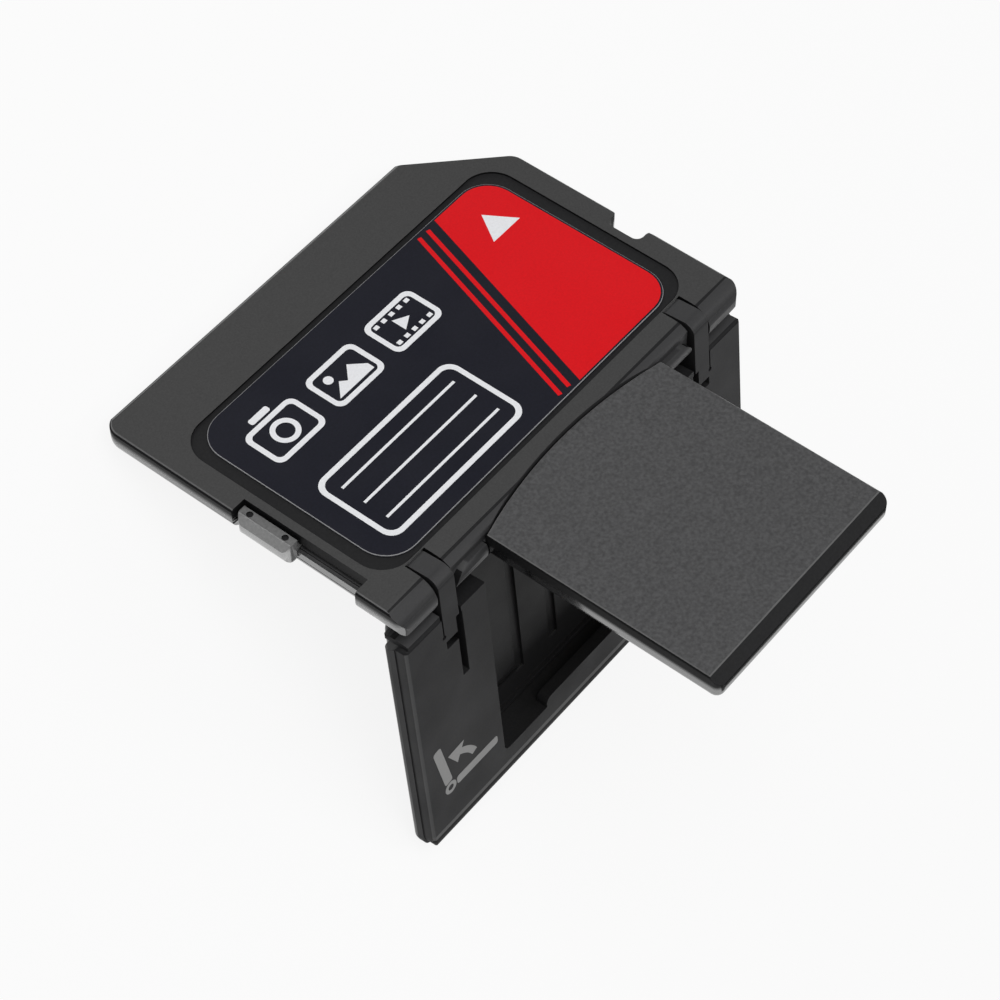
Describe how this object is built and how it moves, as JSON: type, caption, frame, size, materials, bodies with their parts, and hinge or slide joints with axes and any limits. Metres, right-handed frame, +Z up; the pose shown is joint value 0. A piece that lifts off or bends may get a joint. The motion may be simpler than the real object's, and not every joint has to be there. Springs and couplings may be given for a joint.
{
  "type": "folding memory card",
  "caption": "Flat memory card with a cut corner and a write-protect slider; its outer half is a hinged cover that folds down to bare a flat data plug.",
  "frame": {"origin": "on the surface it stands on, under the middle of the open card's bounding box", "axes": "+X along the hinge axis, to the right as the label is read with the contact edge away; +Y towards the contact edge; +Z up, with the open card standing on its contact edge and its cover like a tent"},
  "size_m": [0.024, 0.0246, 0.0207],
  "materials": {
    "shell_plastic": "fine spark-eroded matt",
    "cover_plastic": "satin",
    "plug_plastic": "grainy matt",
    "slider_plastic": "satin",
    "label_film": "printed film",
    "board_laminate": "solder mask",
    "chip_epoxy": "moulded epoxy",
    "gold_plate": "gold flash",
    "crystal_can": "lapped",
    "ceramic": "fired ceramic",
    "resistor_body": "glazed"
  },
  "bodies": {
    "card": {"top_shell": "shell_plastic", "bottom_shell": "shell_plastic", "plug_cap": "plug_plastic", "label": "label_film", "circuit_board": "board_laminate", "flash_chip": "chip_epoxy", "controller_chip": "chip_epoxy", "clock_crystal": "crystal_can", "capacitors": "ceramic", "resistors": "resistor_body", "card_contact_1": "gold_plate", "card_contact_2": "gold_plate", "card_contact_3": "gold_plate", "card_contact_4": "gold_plate", "card_contact_5": "gold_plate", "card_contact_6": "gold_plate", "card_contact_7": "gold_plate", "card_contact_8": "gold_plate", "card_contact_9": "gold_plate", "plug_contact_1": "gold_plate", "plug_contact_2": "gold_plate", "plug_contact_3": "gold_plate", "plug_contact_4": "gold_plate"},
    "cover": {"cover": "cover_plastic"},
    "switch": {"write_protect_slider": "slider_plastic"}
  },
  "joints": [
    {"name": "cover_fold", "type": "hinge", "parent": "card", "child": "cover", "pos_m": [0, -0.00008, 0.01146], "axis": [1, 0, 0], "range_deg": [-85, 0]},
    {"name": "write_protect_slide", "type": "slide", "parent": "card", "child": "switch", "axis": [0, -0.7373, 0.6756], "range_m": [0, 0.0037]}
  ]
}
